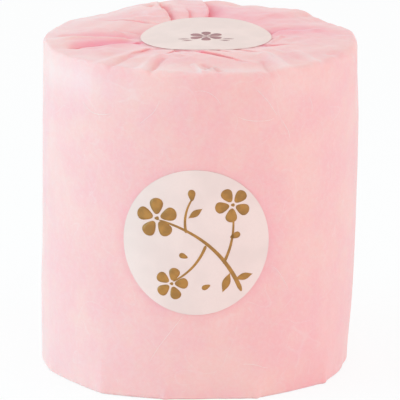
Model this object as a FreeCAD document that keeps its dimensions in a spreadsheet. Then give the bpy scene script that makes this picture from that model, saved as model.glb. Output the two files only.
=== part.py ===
"""A toilet paper roll in its own wrapping paper, standing on one end.

The wound roll is sealed inside one sheet of thin paper, so the pack is a single solid. The sheet goes
once round the roll. At the top it is gathered to the middle in flat folds, and a round label holds
them down. At the base it is folded in and pushed into the middle. A second round label is stuck to
the front. The origin is the middle of the base, +Z is up and the front is -Y. Sizes are millimetres.
"""

import FreeCAD, Part
import math
import os

import Sketcher

from FreeCAD import Placement, Rotation, Vector

# Every size that drives the model: its name, its value and what it measures.
SIZES = (
    ("roll_height", 114.0, "wound paper, from end to end"),
    ("pack_diameter", 108.0, "over the wrapping, at half height"),
    ("rim_radius", 3.0, "rounding of the wrapping at the top edge"),
    ("foot_radius", 1.2, "rounding of the wrapping at the bottom edge"),
    ("crown_rise", 2.4, "height of the gathered paper at the label, above the top edge"),
    ("seat_margin", 3.0, "level paper left round the top label"),
    ("fold_start", 13.0, "from the axis to the hidden end of each top fold"),
    ("fold_depth", 2.8, "depth of a full fold where it starts"),
    ("fold_slope", 11.0, "width of the long flank of a full fold"),
    ("fold_step", 0.7, "width of the steep flank of a full fold"),
    ("rim_corners", 10, "corners that the folds draw round the top edge"),
    ("rim_facet_height", 8.0, "height of the flats between those corners"),
    ("rim_facet_depth", 1.8, "how far the flats draw the top edge in"),
    ("hollow_diameter", 32.0, "mouth of the hollow in the base where the sheet is pushed in"),
    ("hollow_floor", 20.0, "diameter of the bottom of that hollow"),
    ("hollow_depth", 3.0, "depth of that hollow"),
    ("base_folds", 11, "folds of the sheet across the base, and corners round it"),
    ("base_fold_depth", 1.0, "depth of a base fold at the hollow"),
    ("base_fold_slope", 6.0, "width of the long flank of a base fold"),
    ("base_fold_margin", 3.0, "level paper between the base folds and the bottom edge"),
    ("foot_facet_height", 13.0, "height of the flats between the corners of the base"),
    ("foot_facet_depth", 2.1, "how far those flats draw the bottom edge in"),
    ("top_label_diameter", 45.0, "round label on the gather"),
    ("top_label_offset", 1.5, "from the axis to the middle of the top label, towards +X"),
    ("front_label_diameter", 50.0, "round label on the side, before it is bent round the roll"),
    ("front_label_height", 56.0, "from the base to the middle of the front label"),
    ("label_thickness", 0.2, "paper and glue of each label"),
    ("cut_clearance", 2.0, "how far each cutting shape stands clear of the paper"),
    ("fold_run_out", 0.3, "how far clear of the paper the point of a fold's cutting shape is"),
)

# The folds of the top, anticlockwise from +X: the angle where each fold ends, how far its hidden end
# lies to the left of that line, how far it reaches from the label (0) to the top edge (1), and its
# share of a full fold. Each fold's steep flank is on its anticlockwise side.
TOP_FOLDS = (
    (12, 0.0, 0.66, 0.75),
    (48, -2.0, 0.84, 0.60),
    (65, -1.0, 0.75, 0.60),
    (84, 0.0, 0.84, 0.85),
    (98, 0.5, 0.80, 0.60),
    (106, 1.0, 0.80, 0.85),
    (138, -4.0, 0.53, 0.50),
    (164, 1.0, 0.40, 0.50),
    (175, 0.5, 0.27, 0.60),
    (190, 1.0, 0.75, 0.70),
    (205, 1.5, 0.88, 1.00),
    (236, -1.0, 0.84, 0.55),
    (243, 0.5, 0.70, 0.80),
    (253, -0.5, 0.88, 0.70),
    (286, -6.0, 0.75, 0.70),
    (311, -1.5, 0.27, 0.50),
    (337, -2.0, 0.40, 0.50),
    (351, 0.0, 0.27, 0.60),
)
FIRST_RIM_CORNER = 12.0
FIRST_BASE_CORNER = -65.0

LEVEL = Rotation(Vector(1, 0, 0), Vector(0, 1, 0), Vector(0, 0, 1), "XYZ")
# A sketch turned by this stands upright across +X: its own x runs along +Y and its own y runs up.
ACROSS = Rotation(Vector(0, 1, 0), Vector(0, 0, 1), Vector(1, 0, 0), "XYZ")
# A sketch turned by this stands upright along +X: its own x runs along +X and its own y runs up.
ALONG = Rotation(Vector(1, 0, 0), Vector(0, 0, 1), Vector(0, -1, 0), "XYZ")
# An ellipse turned by this faces the front, with its long diameter upright.
UPRIGHT = Rotation(Vector(0, 0, 1), Vector(1, 0, 0), Vector(0, 1, 0), "XYZ")

# Lengths that several pieces share, as expressions of the sheet.
RADIUS = "sizes.pack_diameter / 2"
SEAT_RADIUS = "(sizes.top_label_diameter / 2 + sizes.top_label_offset + sizes.seat_margin)"
SEAT_LEVEL = "(sizes.roll_height + sizes.crown_rise)"


def make_sheet(doc):
    sheet = doc.addObject("Spreadsheet::Sheet", "sizes")
    for row, (name, value, meaning) in enumerate(SIZES, start=1):
        sheet.set(f"A{row}", name)
        sheet.set(f"B{row}", str(value))
        sheet.set(f"C{row}", meaning)
        sheet.setAlias(f"B{row}", name)
    doc.recompute()
    return sheet


def origin_feature(body, role):
    return next(feature for feature in body.Origin.OriginFeatures if feature.Role == role)


def turned(angle, rotation):
    return Rotation(Vector(0, 0, 1), angle) * rotation


def add_sketch(body, name, rotation, base=None):
    """A sketch of the body, turned as asked. base gives expressions for the place of its origin."""
    sketch = body.newObject("Sketcher::SketchObject", name)
    sketch.AttachmentSupport = [(origin_feature(body, "XY_Plane"), "")]
    sketch.MapMode = "FlatFace"
    sketch.AttachmentOffset = Placement(Vector(0, 0, 0), rotation)
    for axis, expression in (base or {}).items():
        sketch.setExpression(f".AttachmentOffset.Base.{axis}", expression)
    return sketch


def place_point(sketch, geometry, end, label, across, up):
    """Holds one end of a line, or a point, at expressions for its two distances from the origin."""
    for kind, suffix, expression in (("DistanceX", "across", across), ("DistanceY", "up", up)):
        index = sketch.addConstraint(Sketcher.Constraint(kind, -1, 1, geometry, end, 0.0))
        sketch.renameConstraint(index, f"{label}_{suffix}")
        sketch.setExpression(f"Constraints.{label}_{suffix}", expression)


def draw_outline(sketch, doc, corners):
    """A closed outline of straight lines through corners, each a name and two expressions."""
    start = measure(doc, corners)
    count = len(corners)
    for number in range(count):
        sketch.addGeometry(Part.LineSegment(start[number], start[(number + 1) % count]))
    for number in range(count):
        following = (number + 1) % count
        sketch.addConstraint(Sketcher.Constraint("Coincident", number, 2, following, 1))
    for number, (label, across, up) in enumerate(corners):
        place_point(sketch, number, 1, label, across, up)


def measure(doc, corners):
    """The corners of an outline as points, worked out from the sheet."""
    sheet = doc.getObject("sizes")
    return [
        Vector(sheet.evalExpression(across), sheet.evalExpression(up), 0)
        for _, across, up in corners
    ]


def apex_share(full_depth, share):
    """How many times wider a fold's cutting shape is at its clear top than at the paper's level."""
    return f"({full_depth} * {share} + sizes.cut_clearance) / {full_depth}"


def draw_fold_mouth(sketch, doc, lean, share, full_depth, slope, step, up):
    """The triangle that a fold cuts: a long flank, a steep flank and the bottom of the crease.

    up is 1 for a fold in the top, whose crease lies below, and -1 for one in the base.
    """
    spread = apex_share(full_depth, share)
    corners = (
        ("crease", f"{lean}", f"-{up} * {full_depth} * {share}"),
        ("steep_side", f"{lean} + {step} * {spread}", f"{up} * sizes.cut_clearance"),
        ("long_side", f"{lean} - {slope} * {spread}", f"{up} * sizes.cut_clearance"),
    )
    draw_outline(sketch, doc, corners)


def add_fold_end(body, name, angle, radius, level):
    """The point where a fold runs out, in a sketch of its own."""
    base = {
        "x": f"{radius} * cos({angle})",
        "y": f"{radius} * sin({angle})",
        "z": level,
    }
    sketch = add_sketch(body, name, turned(angle, ACROSS), base)
    sketch.addGeometry(Part.Point(Vector(0, 0, 0)))
    sketch.addConstraint(Sketcher.Constraint("Coincident", 0, 1, -1, 1))
    return sketch


def cut_between(body, doc, name, mouth, end):
    """Cuts from the fold's mouth to the point where the fold runs out."""
    doc.recompute()
    before = body.Shape
    cut = body.newObject("PartDesign::SubtractiveLoft", name)
    cut.Profile = mouth
    cut.Sections = [(end, ["Vertex1"])]
    cut.Ruled = True
    doc.recompute()
    require_cut(before, cut)
    return cut


def require_cut(before, cut):
    """Stops if a cut's shape holds none of the paper that was there before it.

    The volume in the cut's own small shape is exact. The difference of two whole packs isn't.
    """
    if not before.common(cut.AddSubShape).Volume > 0:
        raise RuntimeError(f"{cut.Label} cuts nothing")


def turn_profile(body, doc):
    """The plain pack: hollow, base, side, top edge and the level seat of the label, turned once."""
    sketch = add_sketch(body, "pack_outline", ALONG)
    corners = (
        ("hollow_middle", "0", "sizes.hollow_depth"),
        ("hollow_corner", "sizes.hollow_floor / 2", "sizes.hollow_depth"),
        ("hollow_mouth", "sizes.hollow_diameter / 2", "0"),
        ("foot", RADIUS, "0"),
        ("top_edge", RADIUS, "sizes.roll_height"),
        ("seat_edge", SEAT_RADIUS, SEAT_LEVEL),
        ("seat_middle", "0", SEAT_LEVEL),
    )
    draw_outline(sketch, doc, corners)
    doc.recompute()
    pack = body.newObject("PartDesign::Revolution", "pack_turned")
    pack.Profile = sketch
    pack.ReferenceAxis = (origin_feature(body, "Z_Axis"), [""])
    pack.Angle = 360
    doc.recompute()
    return pack


def round_edge(body, doc, name, level, size):
    """Rounds the outermost circular edge at a level."""
    sheet = doc.getObject("sizes")
    height = sheet.evalExpression(level)
    radius = sheet.evalExpression(RADIUS)
    tip = body.Tip
    found = [
        f"Edge{number}"
        for number, edge in enumerate(tip.Shape.Edges, start=1)
        if isinstance(edge.Curve, Part.Circle)
        and math.isclose(edge.Curve.Radius, radius, abs_tol=1e-6)
        and math.isclose(edge.Curve.Center.z, height, abs_tol=1e-6)
    ]
    rounding = body.newObject("PartDesign::Fillet", name)
    rounding.Base = (tip, found)
    rounding.setExpression("Radius", size)
    doc.recompute()
    return rounding


def cut_facets(body, doc, name, first_corner, count, height, depth, edge_level, up):
    """Flats between the corners of the top edge or the base, where the sheet is drawn in straight.

    up is 1 at the top and -1 at the base.
    """
    inner = f"{RADIUS} - {depth}"
    beyond = "(sizes.cut_clearance + sizes.crown_rise)"
    lean = f"{depth} / {height} * {beyond}"
    corners = (
        ("inner", f"{inner} - {lean}", f"{edge_level} + {up} * {beyond}"),
        ("outer", f"{RADIUS} + {lean}", f"{edge_level} - {up} * ({height} + {beyond})"),
        ("clear", f"{RADIUS} + {lean}", f"{edge_level} + {up} * {beyond}"),
    )
    middle = first_corner + 180.0 / doc.getObject("sizes").evalExpression(count)
    sketch = add_sketch(body, f"{name}_outline", turned(middle, ALONG))
    draw_outline(sketch, doc, corners)
    doc.recompute()
    before = body.Shape
    flat = body.newObject("PartDesign::Pocket", name)
    flat.Profile = sketch
    flat.Midplane = True
    flat.setExpression("Length", RADIUS)
    doc.recompute()
    require_cut(before, flat)
    repeat(body, doc, f"{name}_round", flat, count)


def repeat(body, doc, name, feature, count):
    """Repeats a cut evenly round the axis, and stops if the copies leave no faces of their own."""
    before = len(body.Shape.Faces)
    pattern = body.newObject("PartDesign::PolarPattern", name)
    pattern.Originals = [feature]
    pattern.Axis = (origin_feature(body, "Z_Axis"), [""])
    pattern.Angle = 360
    pattern.setExpression("Occurrences", count)
    body.Tip = pattern
    doc.recompute()
    if not len(body.Shape.Faces) > before:
        raise RuntimeError(f"{name} repeats nothing")


def cut_top_folds(body, doc):
    for number, (angle, lean, reach, share) in enumerate(TOP_FOLDS, start=1):
        name = f"top_fold_{number:02d}"
        base = {
            "x": f"sizes.fold_start * cos({angle})",
            "y": f"sizes.fold_start * sin({angle})",
            "z": SEAT_LEVEL,
        }
        mouth = add_sketch(body, f"{name}_mouth", turned(angle, ACROSS), base)
        draw_fold_mouth(
            mouth, doc, lean, share, "sizes.fold_depth", f"sizes.fold_slope * {share}",
            f"sizes.fold_step * {share}", 1,
        )
        radius = f"({SEAT_RADIUS} + {reach} * ({RADIUS} - {SEAT_RADIUS}))"
        level = f"sizes.roll_height + sizes.crown_rise * (1 - {reach}) + sizes.fold_run_out"
        end = add_fold_end(body, f"{name}_end", angle, radius, level)
        cut_between(body, doc, name, mouth, end)


def cut_base_folds(body, doc):
    """One fold from the hollow to a corner of the base, repeated for every corner."""
    name = "base_fold"
    base = {
        "x": f"sizes.hollow_floor / 2 * cos({FIRST_BASE_CORNER})",
        "y": f"sizes.hollow_floor / 2 * sin({FIRST_BASE_CORNER})",
    }
    mouth = add_sketch(body, f"{name}_mouth", turned(FIRST_BASE_CORNER, ACROSS), base)
    draw_fold_mouth(
        mouth, doc, 0.0, 1.0, "sizes.base_fold_depth", "sizes.base_fold_slope",
        "sizes.fold_step", -1,
    )
    radius = f"({RADIUS} - sizes.foot_radius - sizes.base_fold_margin)"
    end = add_fold_end(body, f"{name}_end", FIRST_BASE_CORNER, radius, "-sizes.fold_run_out")
    cut = cut_between(body, doc, name, mouth, end)
    repeat(body, doc, f"{name}_round", cut, "sizes.base_folds")


def make_wrapped_roll(doc):
    body = doc.addObject("PartDesign::Body", "wrapped_roll")
    turn_profile(body, doc)
    round_edge(body, doc, "top_rounding", "sizes.roll_height", "sizes.rim_radius")
    round_edge(body, doc, "foot_rounding", "0", "sizes.foot_radius")
    cut_facets(
        body, doc, "rim_facet", FIRST_RIM_CORNER, "sizes.rim_corners",
        "sizes.rim_facet_height", "sizes.rim_facet_depth", "sizes.roll_height", 1,
    )
    cut_facets(
        body, doc, "foot_facet", FIRST_BASE_CORNER, "sizes.base_folds",
        "sizes.foot_facet_height", "sizes.foot_facet_depth", "0", -1,
    )
    cut_base_folds(body, doc)
    cut_top_folds(body, doc)
    return body


def make_top_label(doc):
    """A flat disc on the crests of the gathered paper."""
    body = doc.addObject("PartDesign::Body", "top_label")
    base = {"x": "sizes.top_label_offset", "z": SEAT_LEVEL}
    sketch = add_sketch(body, "top_label_outline", LEVEL, base)
    diameter = doc.getObject("sizes").top_label_diameter
    sketch.addGeometry(Part.Circle(Vector(0, 0, 0), Vector(0, 0, 1), diameter / 2))
    sketch.addConstraint(Sketcher.Constraint("Coincident", 0, 3, -1, 1))
    size = sketch.addConstraint(Sketcher.Constraint("Diameter", 0, diameter))
    sketch.renameConstraint(size, "diameter")
    sketch.setExpression("Constraints.diameter", "sizes.top_label_diameter")
    doc.recompute()
    disc = body.newObject("PartDesign::Pad", "top_label_disc")
    disc.Profile = sketch
    disc.setExpression("Length", "sizes.label_thickness")
    doc.recompute()
    return body


def add_cylinder(doc, name, radius):
    cylinder = doc.addObject("Part::Cylinder", name)
    cylinder.setExpression("Radius", radius)
    cylinder.setExpression("Height", "sizes.roll_height")
    return cylinder


def make_front_label(doc):
    """A round label bent round the side: a sleeve of the label's thickness, inside a punched outline.

    Bending leaves the label's height as it is and draws its width in, so the outline is an ellipse.
    """
    sleeve = doc.addObject("Part::Cut", "label_sleeve")
    sleeve.Base = add_cylinder(doc, "sleeve_outside", f"{RADIUS} + sizes.label_thickness")
    sleeve.Tool = add_cylinder(doc, "sleeve_inside", RADIUS)
    outline = doc.addObject("Part::Ellipse", "front_label_outline")
    outline.Placement = Placement(Vector(0, 0, 0), UPRIGHT)
    outline.setExpression(".Placement.Base.z", "sizes.front_label_height")
    outline.setExpression("MajorRadius", "sizes.front_label_diameter / 2")
    bend = "sizes.front_label_diameter / sizes.pack_diameter * 180 / pi"
    outline.setExpression("MinorRadius", f"{RADIUS} * sin({bend})")
    punch = doc.addObject("Part::Extrusion", "front_label_punch")
    punch.Base = outline
    punch.DirMode = "Custom"
    punch.Dir = Vector(0, -1, 0)
    punch.setExpression("LengthFwd", "sizes.pack_diameter")
    punch.Solid = True
    label = doc.addObject("Part::Common", "front_label")
    label.Base = sleeve
    label.Tool = punch
    doc.recompute()
    return label


def check(doc, pieces):
    """Stops if any object failed, or if a piece isn't one good solid."""
    for thing in doc.Objects:
        if "Invalid" in thing.State or "Error" in thing.State:
            raise RuntimeError(f"{thing.Label} failed: {thing.State}")
    for piece in pieces:
        shape = piece.Shape
        if shape.isNull() or not shape.isValid() or len(shape.Solids) != 1:
            raise RuntimeError(f"{piece.Label} isn't one valid solid")


def write(pieces):
    os.makedirs("parts", exist_ok=True)
    for piece in pieces:
        piece.Shape.exportStep(f"parts/{piece.Label}.step")
        print(f"{piece.Label}: {piece.Shape.Volume:.1f} mm3")


def main():
    doc = FreeCAD.newDocument("toilet_roll")
    make_sheet(doc)
    pieces = [make_wrapped_roll(doc), make_top_label(doc), make_front_label(doc)]
    doc.recompute()
    check(doc, pieces)
    write(pieces)


main()
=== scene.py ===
"""Looks of the wrapped toilet paper roll: gathered paper, two round labels, fibres and the stage.

Lengths are millimetres until a mesh is made. Angles are degrees, anticlockwise from +X as seen from
above, and the front is at 270 degrees.
"""

import math
from collections import namedtuple

import bpy
import numpy as np
from bpy.props import FloatProperty, FloatVectorProperty, IntProperty, PointerProperty
from mathutils import Matrix, Vector
from mathutils.bvhtree import BVHTree


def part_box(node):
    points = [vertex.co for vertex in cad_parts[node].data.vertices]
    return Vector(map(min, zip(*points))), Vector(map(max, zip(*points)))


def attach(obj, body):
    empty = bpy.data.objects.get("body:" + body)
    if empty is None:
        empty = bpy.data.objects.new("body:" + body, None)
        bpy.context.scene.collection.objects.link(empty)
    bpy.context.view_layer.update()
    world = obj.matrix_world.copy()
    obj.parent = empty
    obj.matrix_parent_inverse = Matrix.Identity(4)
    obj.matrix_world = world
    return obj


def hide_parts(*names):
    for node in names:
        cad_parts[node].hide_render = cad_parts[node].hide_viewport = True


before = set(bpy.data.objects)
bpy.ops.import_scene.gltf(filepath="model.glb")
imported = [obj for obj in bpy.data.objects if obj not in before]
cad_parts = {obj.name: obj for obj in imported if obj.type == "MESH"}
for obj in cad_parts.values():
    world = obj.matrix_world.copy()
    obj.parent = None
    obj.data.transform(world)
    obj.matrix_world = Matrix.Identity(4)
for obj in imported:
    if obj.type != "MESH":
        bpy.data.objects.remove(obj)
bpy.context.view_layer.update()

bl_info = {
    "name": "Wrapped Toilet Roll",
    "version": (1, 0, 0),
    "blender": (4, 5, 0),
    "location": "3D View > Sidebar > Wrapped Roll",
    "description": "Builds a toilet roll wrapped in gathered paper, its labels and a plain stage",
    "category": "Object",
}

MM = 0.001


def node_box(name):
    """A solid's lowest and highest corners, in millimetres."""
    return np.array(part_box(name)) / MM


ROLL_BOX = node_box("wrapped_roll")
TOP_LABEL_BOX = node_box("top_label")
FRONT_LABEL_BOX = node_box("front_label")

PACK_RADIUS = np.ptp(ROLL_BOX[:, 1]) / 2
SEAT_HEIGHT = TOP_LABEL_BOX[0, 2]
TOP_LABEL_RADIUS = np.ptp(TOP_LABEL_BOX[:, 1]) / 2
TOP_LABEL_MIDDLE = TOP_LABEL_BOX[:, 0].mean()
FRONT_LABEL_RADIUS = np.ptp(FRONT_LABEL_BOX[:, 2]) / 2
FRONT_LABEL_MIDDLE = FRONT_LABEL_BOX[:, 2].mean()
TOP_LABEL_THICKNESS = 0.11
FRONT_LABEL_THICKNESS = 0.2
PLATE_SPOKES = 128
PLATE_RINGS = 22

# How far the paper lies outside the wound roll and a label outside the paper, and how deep the print
# goes into its label.
PAPER_GAP = 0.25
LABEL_CLEARANCE = 0.04
PRINT_SUNK = 0.02

# Points along a petal or leaf, along a stroke and along a fibre, and round a fibre.
PETAL_POINTS = 15
STROKE_POINTS = 31
FIBRE_POINTS = 22
FIBRE_SIDES = 6

# The angle that the front label faces, the wound paper's height, the rounding of the top edge and of
# the foot, and the hollow in the middle of the base.
FRONT = 268.9
ROLL_HEIGHT = 114.0
SHOULDER = 3.4
FOOT_ROUNDING = 1.1
HOLLOW_RADIUS = 16.0
HOLLOW_DEPTH = 3.0

# Folds of the top, anticlockwise. Each has its angle at the label and at the top edge, the radius
# where it runs out, its depth, how much of that depth is there at the label, the width of its long
# slope, the side of its high lip, which is 1 for anticlockwise and -1 for clockwise, and how it bends
# between its two angles, where 1 is even.
Fold = namedtuple("Fold", "at_label at_rim reach depth mouth slope side bend", defaults=(1.0,))
FOLDS = [Fold(*row) for row in (
    (10, 14, 52, 2.0, 0.9, 8.0, -1), (44, 50, 56, 0.1, 0.3, 10.0, 1), (60, 66, 50, 0.08, 0.5, 8.0, 1),
    (85, 90, 57, 2.4, 0.8, 8.0, 1), (100, 97, 40, 1.0, 0.8, 2.5, 1), (117, 106, 56, 2.3, 0.7, 3.5, 1),
    (131, 154, 47, 0.5, 0.5, 4.0, -1), (165, 160, 33, 1.4, 0.7, 4.0, 1), (177, 181, 42, 0.4, 0.9, 5.0, 1),
    (196, 202, 54, 1.1, 0.9, 3.0, -1), (227, 235, 43, 0.8, 0.35, 6.0, -1),
    (247, 250, 33, 1.3, 1.0, 3.5, -1), (257, 299, 47, 1.1, 0.8, 6.0, 1, 0.45),
    (284, 309, 32, 1.1, 0.8, 3.0, 1), (303, 320, 34, 1.2, 0.6, 3.0, 1),
    (332, 344, 37, 0.9, 0.8, 5.0, 1), (355, 353, 30, 0.9, 0.6, 3.0, 1),
)]

# Corners where the paper is drawn straight from fold to fold, in degrees.
RIM_CORNERS = (18, 50, 84, 112, 136, 155, 185, 203, 228, 268, 295, 322, 346)

# How far the foot is drawn in under the roll: angle and distance.
FOOT_DRAWN_IN = (
    (3, 1.1), (40, 1.0), (184, 0), (200, 0.2), (234, -1.3), (250, 1.0), (258, 2.2), (276, 2.8),
    (293, 1.8), (310, 1.5), (327, 1.3), (345, 1.9),
)
FOOT_CORNERS = (3, 40, 73, 106, 136, 162, 184, 200, 234, 258, 293, 327, 345)
TIPS = (258, 293, 327)

# Where the side leans in most towards the foot, and where the sheet laps over itself at the back.
LEAN_ANGLE = 345.0
SEAM_ANGLE = 78.0

# How far the puffed top edge stands above the wound paper: angle and height.
RIM_LIFT = (
    (0, 1.7), (11, 2.1), (18, 1.6), (24, 0.9), (34, 1.1), (42, 1.4), (47, 2.6), (50, 2.8),
    (56, 2.2), (62, 1.6), (68, 1.9), (74, 1.5), (79, 2.3), (85, 2.8), (95, 2.9), (104, 3.0),
    (115, 2.7), (122, 1.5), (130, 0.3), (140, 0), (150, 0.1), (160, 0), (185, 0.7), (210, 0),
    (285, 0), (318, 0.3), (345, 1.0),
)

# How pink the gathered top is, partly for the paper lying in layers and partly as painted shade: angle and
# measure.
GATHERED_PINK_AND_SHADE = (
    (0, 1.2), (8, 2.3), (14, 1.8), (24, 0.9), (40, 1.5), (70, 1.7), (90, 1.2), (112, 0.2),
    (150, 0), (170, 0.7), (180, 2.0), (184, 1.3), (187.5, 0.4), (191, 1.6), (197, 2.8),
    (200, 1.8), (206, 1.3), (218, 0.4), (255, 0.1), (300, 0.1), (340, 0.4),
)

# Painted shade in deep pink pockets at the edge of the top label: angle, radius and half width in degrees.
EDGE_PAINTED_SHADE = ((203, 23.6, 5.0), (233, 24.0, 3.0), (250, 24.2, 5.0), (273, 24.4, 4.0), (330, 23.8, 3.0))

# Painted highlight on the side just below the top edge: how pale it is, by angle and measure.
SIDE_PAINTED_HIGHLIGHT = (
    (0, 0), (60, 0), (180, 0), (200, 0.25), (222, 0.3), (240, 0.12), (255, 0), (288, 0),
    (300, 0.12), (330, 0),
)

# Painted highlight on the outer top, next to the edge: how pale it is, by angle and measure.
RIM_PAINTED_HIGHLIGHT = (
    (0, 0), (120, 0.25), (160, 0.3), (180, 0.35), (195, 0.35), (208, 0.2), (235, 0.25), (265, 0.3),
    (285, 0.25), (300, 0.1),
)

# Painted light at the foot: how much paler the paper is painted against its shade, by angle and measure,
# where a negative one is pinker, a painted shade.
FOOT_PAINTED_LIGHT = (
    (0, -0.15), (20, 0.1), (285, 0.1), (302, 0), (318, -0.28), (338, -0.28), (350, -0.22),
)

# How rounded the top edge is: angle and measure, where 1 is round and 0 a sharp corner.
RIM_CRISPNESS = (
    (0, 0.85), (30, 0.7), (110, 0.8), (150, 0.5), (180, 0.22), (215, 0.3), (235, 0.4), (262, 0.6),
    (300, 0.7),
)

# Small crumples of the top: radius and angle of one end and of the other, height and width.
CRUMPLES = (
    (37, 306, 53, 303, 1.2, 2.2), (42, 322, 51, 318, 0.7, 2.2), (44, 298, 55, 295, -0.55, 1.1),
    (25, 343, 27, 357, 0.8, 1.0), (29, 350, 31, 346, 0.5, 0.9), (28, 172, 30, 169, 0.8, 1.0),
    (39, 233, 51, 235, -0.5, 1.3), (34, 228, 50, 230, 0.5, 1.8), (40, 251, 50, 251, -0.8, 1.1),
    (36, 246, 50, 247, 0.6, 1.7), (24, 181, 46, 184.5, -1.1, 2.4), (26, 186, 49, 188.5, 0.95, 1.9),
    (24, 193, 46, 201, -1.25, 2.3), (36, 110, 43, 108, -1.1, 1.4), (42, 115, 48, 112, -0.9, 1.3),
    (34, 117, 45, 119, 0.5, 2.0), (30, 252, 35, 258, 0.6, 1.2), (45, 267, 52, 271, 0.8, 0.9),
    (47, 276, 54, 270, 0.75, 0.8), (44, 271, 50, 277, -0.7, 0.8), (26, 120, 34, 133, 0.5, 1.2),
    (30, 65, 47, 60, 0.3, 3.0), (34, 124, 48, 122, 0.5, 3.0), (30, 150, 47, 152, 0.4, 3.2),
    (50, 330, 54, 342, -0.5, 1.3), (30, 318, 38, 316, 0.4, 1.6),
)

# Pale fibres that show most: angle and height of each end, or angle and radius for those on the edge
# of the top, and how far each bows.
SIDE_FIBRES = (
    (222.4, 100.2, 236.4, 97.7, -2.0), (290.3, 108.0, 298.3, 99.1, 0.2), (283.4, 99.1, 297.1, 98.0, -1.3),
    (300, 97.2, 303.9, 90.3, 0.2), (264.8, 30.4, 252.6, 13.5, -0.3), (297, 47, 304, 37, 0.9),
    (255, 104, 248, 96, 1.0), (140, 70, 146, 56, 1.2), (95, 52, 101, 36, -1.4),
    (268, 108, 277, 103, 2.0),
)
EDGE_FIBRES = ((266, 45, 271, 50, 1.6), (270, 50, 276, 46, -1.4), (273, 52, 268, 53, 1.2))


def unit(degrees):
    """Cosine and sine of an angle given in degrees."""
    return np.array((np.cos(np.radians(degrees)), np.sin(np.radians(degrees))))


def around(angle, radius, height):
    """Points from their angle, distance from the axis and height."""
    x, y = radius * unit(angle)
    return np.stack([x, y, height], axis=-1)


def smooth(low, high, value):
    """0 below low, 1 above high, and a soft step between."""
    part = np.clip((value - low) / (high - low), 0.0, 1.0)
    return part * part * (3.0 - 2.0 * part)


def angle_gap(first, second):
    """First angle less the second, between -180 and 180 degrees."""
    return (first - second + 180.0) % 360.0 - 180.0


def round_table(table, angle):
    """Reads a table of angles and values that closes on itself."""
    return np.interp(angle % 360.0, *zip(*table), period=360.0)


def soft_noise(points, size, seed):
    """Smooth noise from -1 to 1 with features of the given size. It repeats after 32 sizes."""
    lattice = np.random.RandomState(seed).rand(32, 32, 32) * 2.0 - 1.0
    scaled = points / size + 100.0
    cell = np.floor(scaled).astype(int)
    part = scaled - cell
    part = part * part * (3.0 - 2.0 * part)
    total = 0.0
    for corner in np.ndindex(2, 2, 2):
        index = (cell + corner) % 32
        weight = np.prod(np.where(corner, part, 1.0 - part), axis=-1)
        total += weight * lattice[index[..., 0], index[..., 1], index[..., 2]]
    return total


def drawn_in(corners, angle, radius):
    """How far a straight stretch between two corners lies inside the round."""
    ends = np.array(corners, dtype=float)
    angle = angle % 360.0
    after = np.searchsorted(ends, angle) % len(ends)
    before = after - 1
    half = ((ends[after] - ends[before]) % 360.0) / 2.0
    from_middle = angle_gap(angle, ends[before] + half)
    inward = radius * (1.0 - np.cos(np.radians(half)) / np.cos(np.radians(from_middle)))
    return np.hypot(inward, 0.25) - 0.25


def side_radius(angle, height):
    """The wrapping's distance from the axis on the side."""
    foot = 1.0 - smooth(0.0, 17.0, height)
    top = smooth(86.0, 112.0, height)
    radius = PACK_RADIUS + PAPER_GAP - 0.75 * foot * drawn_in(FOOT_CORNERS, angle, PACK_RADIUS)
    radius -= (1.0 - smooth(-6.0, 28.0, height)) * 1.1 * round_table(FOOT_DRAWN_IN, angle)
    radius -= 0.55 * top * drawn_in(RIM_CORNERS, angle, PACK_RADIUS)
    lean = np.exp(-(angle_gap(angle, LEAN_ANGLE) / 34.0) ** 2)
    radius -= 1.2 * lean * (1.0 - smooth(0.0, 62.0, height)) ** 1.3
    low = 1.0 - smooth(0.0, 4.0, height)
    for tip in TIPS:
        radius += 0.9 * low * np.exp(-(angle_gap(angle, tip) / 1.1) ** 2)
    seam = angle_gap(angle, SEAM_ANGLE)
    radius += 0.25 * smooth(-0.4, 0.4, seam) * np.exp(-np.clip(seam, 0.0, None) / 9.0)
    points = around(angle, PACK_RADIUS, height)
    radius += 0.22 * soft_noise(points, 26.0, 3)
    streaks = points * (1.0, 1.0, 0.4)
    calm = 1.0 - 0.85 * label_cover(angle, height)
    radius += calm * 0.075 * soft_noise(streaks, 5.5, 5)
    radius += calm * 0.035 * soft_noise(points, 2.6, 8)
    ends = foot + smooth(88.0, 112.0, height)
    return radius + ends * 0.12 * soft_noise(points * (1.0, 1.0, 0.35), 6.0, 11)


def label_cover(angle, height):
    """1 under the front label and 0 away from it."""
    across = np.radians(angle_gap(angle, FRONT)) * PACK_RADIUS
    away = np.hypot(across, height - FRONT_LABEL_MIDDLE)
    return 1.0 - smooth(FRONT_LABEL_RADIUS - 0.5, FRONT_LABEL_RADIUS + 4.0, away)


def label_gap(x, y):
    """How far a point of the top lies outside the label's edge."""
    return np.hypot(x - TOP_LABEL_MIDDLE, y) - TOP_LABEL_RADIUS


def label_height(x, y):
    """Underside of the top label: it sags to the left and right, and dips towards the front."""
    from_middle = (x - TOP_LABEL_MIDDLE) / TOP_LABEL_RADIUS
    forward = -y / TOP_LABEL_RADIUS
    out = np.hypot(from_middle, forward)
    wave = 0.1 * np.sin(5.0 * np.arctan2(forward, from_middle)) * out ** 3
    return SEAT_HEIGHT - 0.4 - 1.35 * from_middle ** 2 + 0.4 * from_middle - 0.9 * forward + wave


def fold_strength(fold, radius):
    """1 where a fold is full and 0 where it has run out."""
    start = fold.mouth + (1.0 - fold.mouth) * smooth(TOP_LABEL_RADIUS + 1.0, 30.0, radius)
    start = start * smooth(TOP_LABEL_RADIUS - 4.5, TOP_LABEL_RADIUS - 1.5, radius)
    return start * (1.0 - smooth(0.6 * fold.reach, fold.reach, radius))


def fold_angle(fold, radius):
    """A fold's angle at a radius: it swings from its place at the label to that at the edge."""
    out = np.clip((radius - TOP_LABEL_RADIUS) / (PACK_RADIUS - TOP_LABEL_RADIUS), 0.0, 1.0)
    return fold.at_label + out ** fold.bend * angle_gap(fold.at_rim, fold.at_label)


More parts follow.
